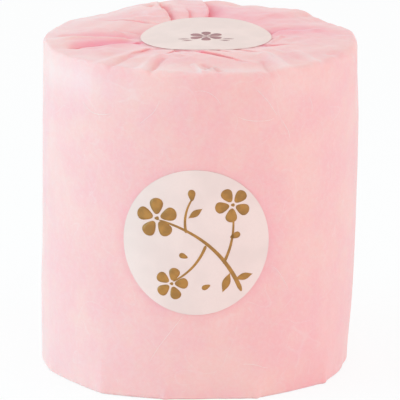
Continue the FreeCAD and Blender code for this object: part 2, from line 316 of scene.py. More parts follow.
# Across a fold, from its long slope to its high lip: how far each column lies from the fold when
# the paper is flat, how far when it is folded, and its height as a share of the fold's depth.
ACROSS_FOLD = (
    (-1.7, -1.7, None), (-1.0, -1.1, None), (-0.5, -0.45, None), (-0.2, 0.25, -1.0), (0.0, 0.75, -0.97),
    (0.2, 0.62, -0.6), (0.45, -0.2, -0.22), (0.7, -0.38, -0.02), (1.0, 0.05, 0.13), (1.4, 0.7, 0.16),
    (2.0, 1.6, 0.13),
)
FOLD_HALF_WIDTH = 2.0


def crown_grid(radii, spacing):
    """The gathered top: angles of its columns by radius, and how far the folds lift or lower each.

    At a fold the columns stand close together, and between two folds they are spread evenly.
    """
    angles, heights = [], []
    for number, fold in enumerate(FOLDS):
        before, after = FOLDS[number - 1], FOLDS[(number + 1) % len(FOLDS)]
        middle = fold_angle(fold, radii)
        strength = fold_strength(fold, radii)
        room_before = (middle - fold_angle(before, radii)) % 360.0
        room_after = (fold_angle(after, radii) - middle) % 360.0
        clear = smooth(0.8, 3.0, label_gap(*(radii * unit(middle))))
        turned_in = clear * strength * min(1.0, fold.depth / 1.5)
        for flat, folded, height in ACROSS_FOLD[::fold.side]:
            offset = fold.side * (flat + turned_in * (folded - flat))
            room = np.radians(np.where(offset > 0.0, room_after, room_before)) * radii
            offset = offset * np.minimum(1.0, 0.42 * room / FOLD_HALF_WIDTH)
            angles.append(middle + np.degrees(offset / radii))
            heights.append(None if height is None else height * fold.depth * strength)
        room = np.radians(room_after) * radii
        guard = 1.12 * np.degrees(np.minimum(FOLD_HALF_WIDTH, 0.42 * room) / radii)
        start, span = middle + guard, room_after - 2.0 * guard
        count = max(2, round(((after.at_rim - fold.at_rim) % 360.0 - 4.0) / spacing))
        for step in range(count):
            angles.append(start + span * step / (count - 1))
            heights.append(None)
    angle = np.stack(angles, axis=1)
    radius = np.repeat(radii[:, None], angle.shape[1], axis=1)
    lift = np.zeros_like(angle)
    for fold in FOLDS:
        strength = fold_strength(fold, radii)[:, None]
        away = np.radians(angle_gap(angle, fold_angle(fold, radii)[:, None])) * radius * fold.side
        down = np.clip(1.0 + away / fold.slope, 0.0, 1.0) * (away <= 0.0)
        crest = 0.16 * np.exp(-((away - 1.0) / 2.6) ** 2) * (away > 0.0)
        lift += fold.depth * strength * (crest - down ** 1.5)
    for column, height in enumerate(heights):
        if height is not None:
            lift[:, column] = height
    return angle, radius, lift


def crown_height(angle, radius, shoulder):
    """Height of the top without its folds, up to the start of the rounding."""
    seat = label_height(*(TOP_LABEL_RADIUS * unit(angle))) - 0.2
    out = np.clip((radius - TOP_LABEL_RADIUS) / (shoulder - TOP_LABEL_RADIUS), 0.0, 1.0)
    rim = ROLL_HEIGHT + round_table(RIM_LIFT, angle)
    puff = 0.9 * np.sin(np.pi * out)
    return seat + (rim - seat) * out ** 1.25 + puff


def crumple_height(x, y):
    """Small ridges and dents of the top, each along a short line."""
    total = np.zeros_like(x)
    for radius, angle, far_radius, far_angle, height, width in CRUMPLES:
        start = radius * unit(angle)
        run = far_radius * unit(far_angle) - start
        share = ((x - start[0]) * run[0] + (y - start[1]) * run[1]) / run.dot(run)
        share = np.clip(share, 0.0, 1.0)
        away = np.hypot(x - start[0] - share * run[0], y - start[1] - share * run[1])
        total += height * np.exp(-(away / width) ** 2)
    return total


def wrapper_points(settings):
    """Rows of points from the middle of the top, over the side, to the middle of the base, with their
    pinkness, which holds painted shade and painted highlights.
    """
    edge = PACK_RADIUS - SHOULDER
    radii = np.concatenate([np.linspace(8.0, 19.0, 4), np.linspace(20.0, edge, settings.crown_rows)])
    angle, radius, lift = crown_grid(radii, settings.column_spacing)
    height = crown_height(angle, radius, edge)
    x, y = radius * unit(angle)
    plan = around(angle, radius, height)
    near_label = smooth(TOP_LABEL_RADIUS - 1.0, TOP_LABEL_RADIUS + 5.0, radius)
    crumpled = near_label * crumple_height(x, y)
    height += settings.fold_depth * lift + crumpled
    height += near_label * settings.crumple * (
        0.55 * soft_noise(plan, 9.0, 21) + 0.25 * soft_noise(plan, 4.0, 22)
        + 0.09 * soft_noise(plan, 1.9, 23)
    )
    from_label = label_gap(x, y)
    under = 1.0 - smooth(0.2, 1.8, from_label)
    ceiling = label_height(x, y) - 0.05
    height = np.maximum(height, ceiling - 0.12 - 0.8 * np.maximum(0.0, from_label))
    height = np.where(under > 0.0, np.minimum(height, ceiling + (1.0 - under) * 1.5), height)
    # Pinker gathered layers, partly real and partly painted shade on the top.
    layers_and_shade = settings.gathered * round_table(GATHERED_PINK_AND_SHADE, angle)
    # Painted shade: deep pink where the folds lie low, in place of the shade and pink light between them.
    pinkness_and_painted_light = np.clip(-lift / 1.8, 0.0, 1.0) + layers_and_shade * (1.0 - 0.8 * smooth(34.0, 53.0, radius))
    # Painted highlight on the crumples' ridges and painted shade in their dents.
    pinkness_and_painted_light -= 0.35 * np.clip(crumpled, -1.0, 1.0)
    # Painted highlight along the outer top.
    pinkness_and_painted_light -= smooth(42.0, 50.0, radius) * round_table(RIM_PAINTED_HIGHLIGHT, angle)
    # Painted shade in the pockets at the label's edge.
    for middle, out, half in EDGE_PAINTED_SHADE:
        away = np.hypot(angle_gap(angle, middle) / half, (radius - out) / 0.9)
        pinkness_and_painted_light += 1.1 * np.exp(-away ** 2)

    rim_angle = angle[-1]
    rim_top = height[-1]
    rim_pinkness_and_painted_light = pinkness_and_painted_light[-1]
    rows, pinkness_and_painted_light_rows = [around(angle, radius, height)], [pinkness_and_painted_light]

    def add_row(out, level, pinkness_and_painted_light):
        rows.append(around(rim_angle, out, level)[None])
        pinkness_and_painted_light_rows.append(pinkness_and_painted_light[None])

    # Painted highlight on the side just below the top edge.
    def painted_side_highlight(level):
        return np.exp(-((level - 107.0) / 6.0) ** 2) * round_table(SIDE_PAINTED_HIGHLIGHT, rim_angle)

    turn = np.radians(np.linspace(0.0, 90.0, 13)[1:])
    shoulder_low = rim_top - SHOULDER
    side_top = side_radius(rim_angle, shoulder_low)
    crisp = round_table(RIM_CRISPNESS, rim_angle)
    for step in turn:
        out = edge + (side_top - edge) * math.sin(step) ** crisp
        level = rim_top - SHOULDER * (1.0 - max(0.0, math.cos(step)) ** crisp)
        place = around(rim_angle, PACK_RADIUS, level)
        out += 0.18 * soft_noise(place, 5.0, 31) * math.sin(2.0 * step)
        # The rounded edge keeps the top's pinkness and painted light and takes on the painted highlight
        # below it.
        add_row(out, level, rim_pinkness_and_painted_light * math.cos(step) ** 2 - painted_side_highlight(level) * math.sin(step))
    foot_painted_light = round_table(FOOT_PAINTED_LIGHT, rim_angle)
    for share in np.linspace(0.0, 1.0, settings.side_rows + 1)[1:]:
        level = shoulder_low + share * (FOOT_ROUNDING - shoulder_low)
        # Painted highlight below the edge and painted light at the foot; pinker round the front label.
        painted_light = painted_side_highlight(level) + foot_painted_light * (1.0 - smooth(2.0, 46.0, level))
        add_row(side_radius(rim_angle, level), level, 0.3 * label_cover(rim_angle, level) - painted_light)
    foot_out = side_radius(rim_angle, np.full_like(rim_angle, FOOT_ROUNDING))
    # The rounded foot takes the painted light of the foot.
    for step in np.radians((20.0, 40.0, 60.0, 78.0, 90.0)):
        level = np.full_like(rim_angle, FOOT_ROUNDING * (1.0 - math.sin(step)))
        add_row(foot_out - FOOT_ROUNDING * (1.0 - math.cos(step)), level, -foot_painted_light)
    base_out = foot_out - FOOT_ROUNDING
    for share in np.linspace(0.0, 1.0, settings.base_rows + 1)[1:]:
        out = base_out + share * (5.0 - base_out)
        level = base_height(rim_angle, out, base_out)
        # Painted shade under the base: pinker where it rises into its hollow and inner folds.
        add_row(out, level, np.clip(level / 3.0, 0.0, 1.0) * 0.5)
    return np.concatenate(rows), np.concatenate(pinkness_and_painted_light_rows)


def base_height(angle, radius, edge):
    """The base: it rises a little from its edge, is folded inside, and hollow in the middle."""
    hollow = HOLLOW_DEPTH * (1.0 - smooth(0.55 * HOLLOW_RADIUS, 1.1 * HOLLOW_RADIUS, radius))
    fold = np.zeros_like(radius)
    inner = 1.0 - smooth(20.0, 48.0, radius)
    for corner in FOOT_CORNERS:
        away = np.radians(angle_gap(angle, corner)) * radius
        fold += inner * 0.9 * np.exp(-np.clip(away, 0.0, None) / 3.2) * smooth(-0.7, 0.0, away)
    return 0.12 * smooth(-0.8, 3.0, edge - radius) + hollow + np.clip(fold, 0.0, 1.2)


def add_object(name, data):
    added = bpy.data.objects.new(name, data)
    bpy.context.scene.collection.objects.link(added)
    return added


def to_mesh(name, points, faces, pinkness_and_painted_light=None):
    """A smooth-shaded mesh object in metres from points in millimetres."""
    mesh = bpy.data.meshes.new(name)
    mesh.from_pydata((np.asarray(points) * MM).tolist(), [], faces)
    # The attribute holds the paper's pinkness, which includes painted shade and painted highlights.
    if pinkness_and_painted_light is not None:
        layer = mesh.attributes.new("pinkness_and_painted_light", "FLOAT", "POINT")
        layer.data.foreach_set("value", pinkness_and_painted_light.astype(np.float32))
    mesh.update()
    mesh.shade_smooth()
    return add_object(name, mesh)


def closed_skin(name, grid, pinkness_and_painted_light):
    """A closed skin from rows that run from the middle of the top to the middle of the base."""
    rows, columns = grid.shape[:2]
    middles = [grid[0].mean(axis=0), grid[-1].mean(axis=0)]
    points = np.concatenate([grid.reshape(-1, 3), middles])
    top_index = rows * columns
    last = top_index - columns
    faces = []
    for column in range(columns):
        beside = (column + 1) % columns
        faces.append((top_index, column, beside))
        faces.append((top_index + 1, last + beside, last + column))
        for here in range(0, last, columns):
            there = here + columns
            faces.append((here + column, there + column, there + beside, here + beside))
    return to_mesh(name, points, faces, np.concatenate([pinkness_and_painted_light.reshape(-1), [0.0, 0.0]]))


def plate(flat, loops, border, place, low, high):
    """Points and faces of a thin closed plate from the flat points and faces of one side.

    place turns flat points and an offset from the plate's face into points in space.
    """
    points = np.concatenate([place(flat, high), place(flat, low)])
    under = len(flat)
    faces = loops + [tuple(under + index for index in reversed(loop)) for loop in loops]
    for here, there in zip(border, border[1:] + border[:1]):
        faces.append((here, under + here, under + there, there))
    return points, faces


def round_plate(radius, place, thickness):
    """A round plate: a middle point and rings round it."""
    turns = np.linspace(0.0, 2.0 * np.pi, PLATE_SPOKES, endpoint=False)
    rim = radius * np.stack([np.cos(turns), np.sin(turns)], axis=-1)
    shares = np.linspace(0.0, 1.0, PLATE_RINGS + 1)
    flat = np.concatenate([[(0.0, 0.0)], *(share * rim for share in shares[1:])])
    edge = len(flat) - PLATE_SPOKES
    loops = []
    for spoke in range(PLATE_SPOKES):
        beside = (spoke + 1) % PLATE_SPOKES
        loops.append((0, 1 + spoke, 1 + beside))
        for inner in range(1, edge, PLATE_SPOKES):
            outer = inner + PLATE_SPOKES
            loops.append((inner + spoke, outer + spoke, outer + beside, inner + beside))
    return plate(flat, loops, [*range(edge, len(flat))], place, -thickness, 0.0)


def blade(spine, half):
    """Flat points from the right edge to the left edge of a shape that lies along a line."""
    along = np.gradient(spine, axis=0)
    along /= np.linalg.norm(along, axis=1)[:, None]
    left = np.stack([-along[:, 1], along[:, 0]], axis=-1)
    shares = np.linspace(-1.0, 1.0, 5)
    return spine[:, None, :] + (half[:, None] * shares)[:, :, None] * left[:, None, :]


def straight(x, y, heading, length):
    """A straight line from a point along a heading, and how far along it each of its points is."""
    share = 0.5 * (1.0 - np.cos(np.linspace(0.0, np.pi, PETAL_POINTS)))
    across, up = unit(heading)
    return np.stack([x + length * share * across, y + length * share * up], axis=-1), share


def petal(x, y, heading, length, width):
    """A rounded petal."""
    spine, share = straight(x, y, heading, length)
    rounded = np.sqrt(share * (1.0 - share)) * (0.55 + 0.45 * smooth(0.0, 1.0, share))
    return blade(spine, width * rounded + 0.02)


def leaf(x, y, heading, length, width):
    """A pointed leaf."""
    spine, share = straight(x, y, heading, length)
    return blade(spine, 0.5 * width * np.sin(np.pi * share) ** 1.3 + 0.02)


def stroke(start, end, bow, width, taper):
    """A bowed stroke, wide at its start and narrower at its end."""
    start, end = np.array((start, end))
    run = end - start
    side = np.array((-run[1], run[0])) / np.hypot(*run)
    share = 0.5 * (1.0 - np.cos(np.linspace(0.0, np.pi, STROKE_POINTS)))
    spine = start + share[:, None] * run + (4.0 * bow * share * (1.0 - share))[:, None] * side
    blunt = np.minimum(1.0, 5.0 * np.sqrt(share * (1.0 - share)))
    return blade(spine, 0.5 * width * (1.0 - taper * share) * blunt + 0.02)


def joined(parts):
    """Points and faces of several meshes as one."""
    points, faces = [], []
    for part_points, part_faces in parts:
        faces += [tuple(index + len(points) for index in face) for face in part_faces]
        points += list(part_points)
    return points, faces


def slab(grid, place, thickness):
    """A plate over a grid of flat points, sunk a little into what it lies on."""
    rows, columns = grid.shape[:2]
    count = rows * columns
    loops = []
    for row in range(0, count - columns, columns):
        for first in range(row, row + columns - 1):
            loops.append((first, first + columns, first + columns + 1, first + 1))
    border = [*range(0, count, columns), *range(count - columns + 1, count)]
    border += [*range(count - columns - 1, 0, -columns), *range(columns - 2, 0, -1)]
    return plate(grid.reshape(-1, 2), loops, border, place, -PRINT_SUNK, thickness)


def on_front(flat, offset):
    """Flat points of the front label, bent round the side at an offset above the label's face."""
    angle = FRONT + np.degrees(flat[:, 0] / PACK_RADIUS)
    height = FRONT_LABEL_MIDDLE + flat[:, 1]
    radius = side_radius(angle, height) + LABEL_CLEARANCE + FRONT_LABEL_THICKNESS + offset
    return around(angle, radius, height)


def on_top(flat, offset):
    """Flat points of the top label, laid on the gathered paper."""
    x = flat[:, 0] + TOP_LABEL_MIDDLE
    y = flat[:, 1]
    return np.stack([x, y, label_height(x, y) + TOP_LABEL_THICKNESS + offset], axis=-1)


# Materials. Colours are given as they look on a screen and are turned to linear ones.


def linear(colour):
    parts = [c / 12.92 if c <= 0.04045 else ((c + 0.055) / 1.055) ** 2.4 for c in colour]
    return (*parts, 1.0)


class Tree:
    """Short calls for the nodes of one material or world."""

    def __init__(self, owner):
        owner.use_nodes = True
        self.tree = owner.node_tree
        self.tree.nodes.clear()

    def node(self, kind, values=None, **settings):
        made = self.tree.nodes.new(kind)
        for title, value in settings.items():
            setattr(made, title, value)
        for title, value in (values or {}).items():
            self.put(value, made.inputs[title])
        return made

    def put(self, value, socket):
        if isinstance(value, bpy.types.NodeSocket):
            self.tree.links.new(value, socket)
        else:
            socket.default_value = value

    def math(self, operation, first, second=None, clamp=False):
        made = self.node("ShaderNodeMath", operation=operation, use_clamp=clamp)
        self.put(first, made.inputs[0])
        if second is not None:
            self.put(second, made.inputs[1])
        return made.outputs[0]

    def mix(self, factor, first, second):
        made = self.node("ShaderNodeMix", data_type="RGBA")
        self.put(factor, made.inputs[0])
        self.put(first, made.inputs[6])
        self.put(second, made.inputs[7])
        return made.outputs[2]

    def noise(self, place, size, detail=2.0, roughness=0.5, distortion=0.0):
        """Noise whose features have the given size in millimetres."""
        values = {
            "Vector": place, "Scale": 1.0 / (size * MM), "Detail": detail, "Roughness": roughness,
            "Distortion": distortion,
        }
        return self.node("ShaderNodeTexNoise", values).outputs["Fac"]

    def range(self, value, low, high, first=0.0, last=1.0):
        values = {"Value": value, "From Min": low, "From Max": high, "To Min": first, "To Max": last}
        return self.node("ShaderNodeMapRange", values, interpolation_type="SMOOTHSTEP").outputs[0]

    def moved(self, place, shift):
        return self.node("ShaderNodeMapping", {"Vector": place, "Location": shift}).outputs[0]

    def out(self, shader, kind="ShaderNodeOutputMaterial"):
        self.tree.links.new(shader, self.node(kind).inputs["Surface"])

    def blend(self, factor, first, second):
        made = self.node("ShaderNodeMixShader", {"Fac": factor})
        self.put(first.outputs[0], made.inputs[1])
        self.put(second.outputs[0], made.inputs[2])
        return made.outputs[0]

    def shade(self, colour, rough, relief, strength, depth, more):
        """The main shader, with a bump whose depth is in millimetres."""
        values = {"Strength": strength, "Distance": depth * MM, "Height": relief}
        normal = self.node("ShaderNodeBump", values).outputs[0]
        values = {"Base Color": colour, "Roughness": rough, "Normal": normal, **more}
        self.out(self.node("ShaderNodeBsdfPrincipled", values).outputs[0])


def new_material(name):
    """A material, its nodes, and the place on the piece that its noises are read at."""
    material = bpy.data.materials.new(name)
    tree = Tree(material)
    return material, tree, tree.node("ShaderNodeTexCoord").outputs["Object"]


def hair_lines(tree, place, size, width, cover, seed):
    """Thin wandering lines: where a soft noise crosses its middle, broken up by a second noise."""
    here = tree.moved(place, (seed * 0.37, seed * 0.61, seed * 0.23))
    field = tree.noise(here, size, detail=1.0, roughness=0.4, distortion=0.6)
    line = tree.range(tree.math("ABSOLUTE", tree.math("SUBTRACT", field, 0.5)), 0.0, width, 1.0, 0.0)
    gate = tree.range(tree.noise(here, size * 0.45, detail=0.0), cover, cover + 0.06)
    return tree.math("MULTIPLY", line, gate)


def handmade_paper(name, colour, deep_pink_and_shade, pale, mottle, glow):
    """Soft cloudy paper with long pale fibres and fine pits, and painted shade and painted highlights read
    from an attribute of the mesh.
    """
    material, tree, place = new_material(name)
    clouds = tree.noise(place, 17.0, detail=3.0, roughness=0.55)
    blotches = tree.noise(tree.moved(place, (0.31, 0.17, 0.53)), 6.0, detail=3.0, roughness=0.6)
    felt = tree.noise(place, 1.5, detail=3.0, roughness=0.7)
    pits = tree.node(
        "ShaderNodeTexVoronoi", {"Vector": place, "Scale": 1.0 / (0.9 * MM)}, feature="F1",
    ).outputs["Distance"]
    fibres = hair_lines(tree, place, 30.0, 0.006, 0.53, 1)
    fibres = tree.math("MAXIMUM", fibres, hair_lines(tree, place, 21.0, 0.007, 0.55, 2))
    fibres = tree.math("MAXIMUM", fibres, hair_lines(tree, place, 13.0, 0.009, 0.56, 3))

    red, green, blue = colour
    rosy = linear((red * 0.995, green * 0.955, blue * 0.985))
    warm = linear((red * 0.99, green * 1.025, blue * 0.98))
    base = tree.mix(tree.range(clouds, 0.36, 0.64), rosy, linear(colour))
    base = tree.mix(tree.range(blotches, 0.42, 0.66, 0.0, 0.22), base, warm)
    base = tree.mix(tree.range(felt, 0.35, 0.7, 0.0, mottle), base, linear(pale))
    base = tree.mix(tree.range(pits, 0.05, 0.4, 0.16, 0.0), base, linear(deep_pink_and_shade))
    base = tree.mix(tree.math("MULTIPLY", fibres, 0.13), base, linear(pale))
    # Painted shade: the attribute turns the paper towards the deep pink colour. Painted highlight: where
    # it is negative, towards the pale colour.
    pinkness_and_painted_light = tree.node("ShaderNodeAttribute", attribute_name="pinkness_and_painted_light").outputs["Fac"]
    base = tree.mix(tree.math("MULTIPLY", pinkness_and_painted_light, 0.85, clamp=True), base, linear(deep_pink_and_shade))
    base = tree.mix(tree.math("MULTIPLY", pinkness_and_painted_light, -1.0, clamp=True), base, linear(pale))

    rough = tree.range(felt, 0.3, 0.7, 0.62, 0.82)
    relief = tree.math("ADD", tree.math("MULTIPLY", felt, 0.6), tree.math("MULTIPLY", fibres, 0.25))
    relief = tree.math("ADD", relief, tree.math("MULTIPLY", tree.range(pits, 0.0, 0.35), 0.25))
    tree.shade(base, rough, relief, 0.5, 0.12, {
        "Specular IOR Level": 0.4, "Sheen Weight": 0.38, "Sheen Roughness": 0.5,
        "Subsurface Weight": glow, "Subsurface Radius": (1.0, 0.4, 0.4), "Subsurface Scale": 2.0 * MM,
    })
    return material


def label_paper(name, colour):
    """Smooth uncoated label stock with a faint grain."""
    material, tree, place = new_material(name)
    clouds = tree.noise(place, 11.0)
    grain = tree.noise(place, 0.7, detail=3.0, roughness=0.65)
    darker = linear(tuple(part * 0.975 for part in colour))
    base = tree.mix(tree.range(clouds, 0.35, 0.65), darker, linear(colour))
    base = tree.mix(tree.range(grain, 0.4, 0.7, 0.0, 0.3), base, darker)
    rough = tree.range(grain, 0.3, 0.7, 0.5, 0.66)
    tree.shade(base, rough, grain, 0.25, 0.04, {"Specular IOR Level": 0.4})
    return material


def printed_ink(name, colour, metallic):
    """Ink that lies a little unevenly, darker in some places."""
    material, tree, place = new_material(name)
    patches = tree.noise(place, 3.0, detail=3.0)
    specks = tree.noise(place, 0.35)
    darker = linear(tuple(part * 0.88 for part in colour))
    base = tree.mix(tree.range(patches, 0.35, 0.65), darker, linear(colour))
    rough = tree.range(specks, 0.3, 0.7, 0.38, 0.6)
    tree.shade(base, rough, specks, 0.2, 0.02, {"Metallic": metallic})
    return material


# Settings that someone would change.


def colour_property(name, description, default):
    return FloatVectorProperty(
        name=name, description=description, subtype="COLOR_GAMMA", size=3, min=0.0, max=1.0,
        default=tuple(part / 255.0 for part in default),
    )


def share_property(name, description, default, most=1.0):
    return FloatProperty(
        name=name, description=description, default=default, min=0.0, max=most, subtype="FACTOR",
    )


def number_property(name, description, default, least=0, kind=FloatProperty, **more):
    return kind(name=name, description=description, default=default, min=least, **more)


class WrappedRollPaper(bpy.types.PropertyGroup):
    column_spacing: number_property("Column Spacing", "Degrees between the mesh's columns", 0.95, 0.4)
    crown_rows: number_property("Top Rows", "Rows of the mesh on the top", 46, 10, IntProperty)
    side_rows: number_property("Side Rows", "Rows of the mesh on the side", 62, 10, IntProperty)
    base_rows: number_property("Base Rows", "Rows of the mesh under the base", 18, 4, IntProperty)
    fold_depth: share_property("Fold Depth", "Depth of the folds, where 1 is the usual depth", 1.0, 1.5)
    crumple: share_property("Crumple", "How crumpled the gathered paper is", 1.0, 2.0)
    # Scales how pink the gathered top is, which is partly painted shade.
    gathered: share_property("Gathered", "How much pinker the paper is where it lies gathered", 0.36)
    paper_colour: colour_property("Paper", "Colour of the wrapping", (253, 189, 184))
    # Deep pink of gathered layers and of the painted shade in the folds.
    deep_pink_and_shade_colour: colour_property("Deep Pink and Painted Shade", "Colour deep in the folds", (253, 155, 170))
    # Also the colour of the painted highlights on the wrapping.
    pale_and_highlight_colour: colour_property("Fibres", "Colour of the pale fibres in the paper", (255, 230, 227))
    mottle: share_property("Mottle", "How strongly the felted fibres show", 0.14)
    fibre_colour: colour_property("Loose Fibres", "Colour of the long fibres", (255, 216, 210))
    fibre_count: number_property("Strewn Fibres", "Long fibres besides the placed ones", 7, 0, IntProperty)
    fibre_width: number_property("Fibre Width", "Width of the long fibres, in millimetres", 0.21, 0.05)


class WrappedRollLabels(bpy.types.PropertyGroup):
    top_colour: colour_property("Top Label", "Colour of the top label", (250, 225, 218))
    front_colour: colour_property("Front Label", "Colour of the front label", (247, 214, 207))
    print_colour: colour_property("Print", "Colour of the print on the front", (186, 126, 58))
    mark_colour: colour_property("Top Mark", "Colour of the mark on the top", (176, 118, 120))
    print_thickness: number_property("Print Thickness", "Height of the print in millimetres", 0.04, 0.01)


class WrappedRollStage(bpy.types.PropertyGroup):
    distance: number_property("Distance", "From the camera to the roll", 1.6506, 0.2, unit="LENGTH")
    view_width: number_property("View Width", "Width seen at the roll", 0.1383, 0.02, unit="LENGTH")
    elevation: FloatProperty(
        name="Elevation", description="How far the camera looks down", subtype="ANGLE",
        default=math.radians(14.167),
    )
    roll: FloatProperty(
        name="Roll", description="How far the camera is turned about its own line of sight",
        subtype="ANGLE", default=math.radians(0.801),
    )
    left_light: number_property("Left Light", "Power of the soft light on the left, in watts", 5.4)
    right_light: number_property("Right Light", "Power of the soft light on the right, in watts", 2.3)
    room_light: number_property("Room Light", "Brightness of the white room", 0.855)
    floor_shadow: share_property("Floor Shadow", "How much of the roll's shadow the floor shows", 0.15)


# The pieces.


class WRAPPEDROLL_OT_wrapping(bpy.types.Operator):
    """Lay the sheet of paper round the roll, gathered on top and pushed in below"""

    bl_idname = "wrapped_roll.wrapping"
    bl_label = "Wrapping"

    def execute(self, context):
        settings = context.scene.wrapped_roll_paper
        grid, pinkness_and_painted_light = wrapper_points(settings)
        piece = closed_skin("wrapping", grid, pinkness_and_painted_light)
        piece.data.set_sharp_from_angle(angle=math.radians(70.0))
        piece.data.materials.append(handmade_paper(
            "wrapping_paper", settings.paper_colour, settings.deep_pink_and_shade_colour, settings.pale_and_highlight_colour,
            settings.mottle, 0.3,
        ))
        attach(piece, "root")
        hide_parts("wrapped_roll")
        return {"FINISHED"}


def surface_path(tree, points):
    """Moves a rough path onto the paper, and gives the points and the paper's normals."""
    places, normals = [], []
    for point in points:
        place, normal, _, _ = tree.find_nearest(Vector(point) * MM)
        place = np.array(place) / MM
        if not places or np.linalg.norm(place - places[-1]) > 0.2:
            places.append(place)
            normals.append(np.array(normal))
    return np.array(places), np.array(normals)


def fibre_tube(places, normals, width):
    """A thin tapered fibre, half sunk in the paper: points and faces of a closed tube."""
    sides, count = FIBRE_SIDES, len(places)
    along = np.gradient(places, axis=0)
    along /= np.linalg.norm(along, axis=1)[:, None]
    across = np.cross(normals, along)
    across /= np.linalg.norm(across, axis=1)[:, None]
    shares = np.linspace(0.0, 1.0, count)
    half = 0.5 * width * (0.25 + 0.75 * np.sin(np.pi * np.clip(shares, 0.02, 0.98)) ** 0.5)
    turns = 2.0 * np.pi * np.arange(sides) / sides
    flat = np.stack([np.cos(turns), 0.4 * np.sin(turns)], axis=-1)
    points = places[:, None] + half[:, None, None] * (flat @ np.stack([across, normals], axis=1))
    faces = []
    for index in range(count - 1):
        for side in range(sides):
            beside = (side + 1) % sides
            here = index * sides
            there = here + sides
            faces.append((here + side, here + beside, there + beside, there + side))
    faces.append(tuple(reversed(range(sides))))
    faces.append(tuple(range((count - 1) * sides, count * sides)))
    return points.reshape(-1, 3), faces


def bowed_line(start, end, bow, turn_to_point, wander, random):
    """A rough path in two flat measures, turned to points in space."""
    shares = np.linspace(0.0, 1.0, FIBRE_POINTS)
    start, end = np.array((start, end))
    run = end - start
    side = np.array((-run[1], run[0])) / max(np.hypot(*run), 1e-6)
    waves = np.sin(shares * random.uniform(4.0, 9.0) + random.uniform(0.0, 6.0))
    sway = bow * 4.0 * shares * (1.0 - shares) + wander * waves * shares
    flat = start + shares[:, None] * run + sway[:, None] * side
    return [turn_to_point(one, two) for one, two in flat]


def side_point(across, height):
    """A point on the side from its distance round the roll and its height."""
    return around(math.degrees(across / PACK_RADIUS), PACK_RADIUS, height)


def top_point(x, y):
    return x, y, SEAT_HEIGHT


class WRAPPEDROLL_OT_fibres(bpy.types.Operator):
    """Lay long pale fibres in the face of the paper"""

    bl_idname = "wrapped_roll.fibres"
    bl_label = "Fibres"

    def execute(self, context):
        settings = context.scene.wrapped_roll_paper
        wrapping = bpy.data.objects["wrapping"]
        tree = BVHTree.FromObject(wrapping, context.evaluated_depsgraph_get())
        random = np.random.RandomState(17)
        round_mm = math.radians(1.0) * PACK_RADIUS
        paths = []
        for angle, height, far_angle, far_height, bow in SIDE_FIBRES:
            ends = (angle * round_mm, height), (far_angle * round_mm, far_height)
            paths.append(bowed_line(*ends, bow, side_point, 0.25, random))
        for angle, radius, far_angle, far_radius, bow in EDGE_FIBRES:
            ends = radius * unit(angle), far_radius * unit(far_angle)
            paths.append(bowed_line(*ends, bow, top_point, 0.2, random))
        for _ in range(settings.fibre_count):
            start = np.array((random.uniform(0.0, 360.0) * round_mm, random.uniform(6.0, 106.0)))
            heading = random.uniform(0.0, 360.0)
            length = random.uniform(3.0, 13.0)
            end = start + length * unit(heading)
            end[1] = min(max(end[1], 4.0), 108.0)
            middle = (start + end) / 2.0
            if label_cover(middle[0] / round_mm, middle[1]) > 0.0:
                continue
            bow = random.uniform(-0.12, 0.12) * length
            paths.append(bowed_line(start, end, bow, side_point, 0.2, random))
        tubes = []
        for path in paths:
            width = settings.fibre_width * random.uniform(0.6, 1.15)
            tubes.append(fibre_tube(*surface_path(tree, path), width))
        piece = to_mesh("paper_fibres", *joined(tubes))
        piece.data.materials.append(handmade_paper(
            "fibre", settings.fibre_colour, settings.paper_colour, settings.pale_and_highlight_colour, 0.1, 0.0,
        ))
        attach(piece, "root")
        return {"FINISHED"}


def blossom(x, y, size, turn):
    """Five petals round a point, and a dot in the middle."""
    shapes = []
    for number in range(5):
        heading = turn + 72.0 * number
        across, up = 0.2 * size * unit(heading)
        shapes.append(petal(x + across, y + up, heading, 0.8 * size, 0.78 * size))
    shapes.append(petal(x - 0.11 * size, y, 0.0, 0.22 * size, 0.22 * size))
    return shapes


def front_design():
    """A plain flowering twig: a bowed stem, three blossoms, buds and leaves."""
    shapes = [
        stroke((15.6, -17.0), (-12.6, 7.4), -4.8, 1.5, 0.6),
        stroke((9.3, -7.2), (12.0, 11.8), -1.6, 1.0, 0.5),
        stroke((3.4, -0.9), (-7.4, -13.6), 1.6, 1.0, 0.5),
        stroke((-3.2, 3.3), (-1.4, 15.0), 1.2, 0.9, 0.4),
    ]
    shapes += blossom(-13.2, 7.9, 7.0, 20.0)
    shapes += blossom(12.2, 13.0, 6.0, 48.0)
    shapes += blossom(-7.9, -14.4, 5.6, 4.0)
    buds = ((-1.4, 14.4, 94, 3.9, 3.0), (11.5, 1.8, 22, 3.6, 2.6), (-2.6, -5.2, 160, 3.0, 2.2),
            (5.0, -14.6, 205, 3.0, 2.1))
    leaves = ((13.4, -12.6, 14, 6.2, 2.4), (11.6, -10.4, 250, 7.2, 2.7), (-2.6, 8.4, 36, 5.8, 2.2))
    return shapes + [petal(*bud) for bud in buds] + [leaf(*blade) for blade in leaves]


def top_design():
    """A small full blossom between two pairs of thin leaves."""
    shapes = []
    for number in range(6):
        heading = 30.0 + 60.0 * number
        across, up = unit(heading)
        shapes.append(petal(1.3 * across, 1.3 * up - 4.0, heading, 4.6, 3.9))
        shapes.append(petal(0.3 * across, 0.3 * up - 4.0, heading, 0.9, 0.5))
    for side in (-1.0, 1.0):
        shapes.append(leaf(side * 5.6, -7.4, 90.0 - side * 84.0, 4.0, 0.9))
        shapes.append(leaf(side * 4.6, -9.2, 90.0 - side * 97.0, 3.6, 0.9))
    return shapes


def make_label(name, node, radius, place, thickness, material):
    """A round label bent over what it is stuck to."""
    piece = to_mesh(name, *round_plate(radius, place, thickness))
    piece.data.set_sharp_from_angle(angle=math.radians(50.0))
    piece.data.materials.append(material)
    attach(piece, "root")
    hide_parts(node)


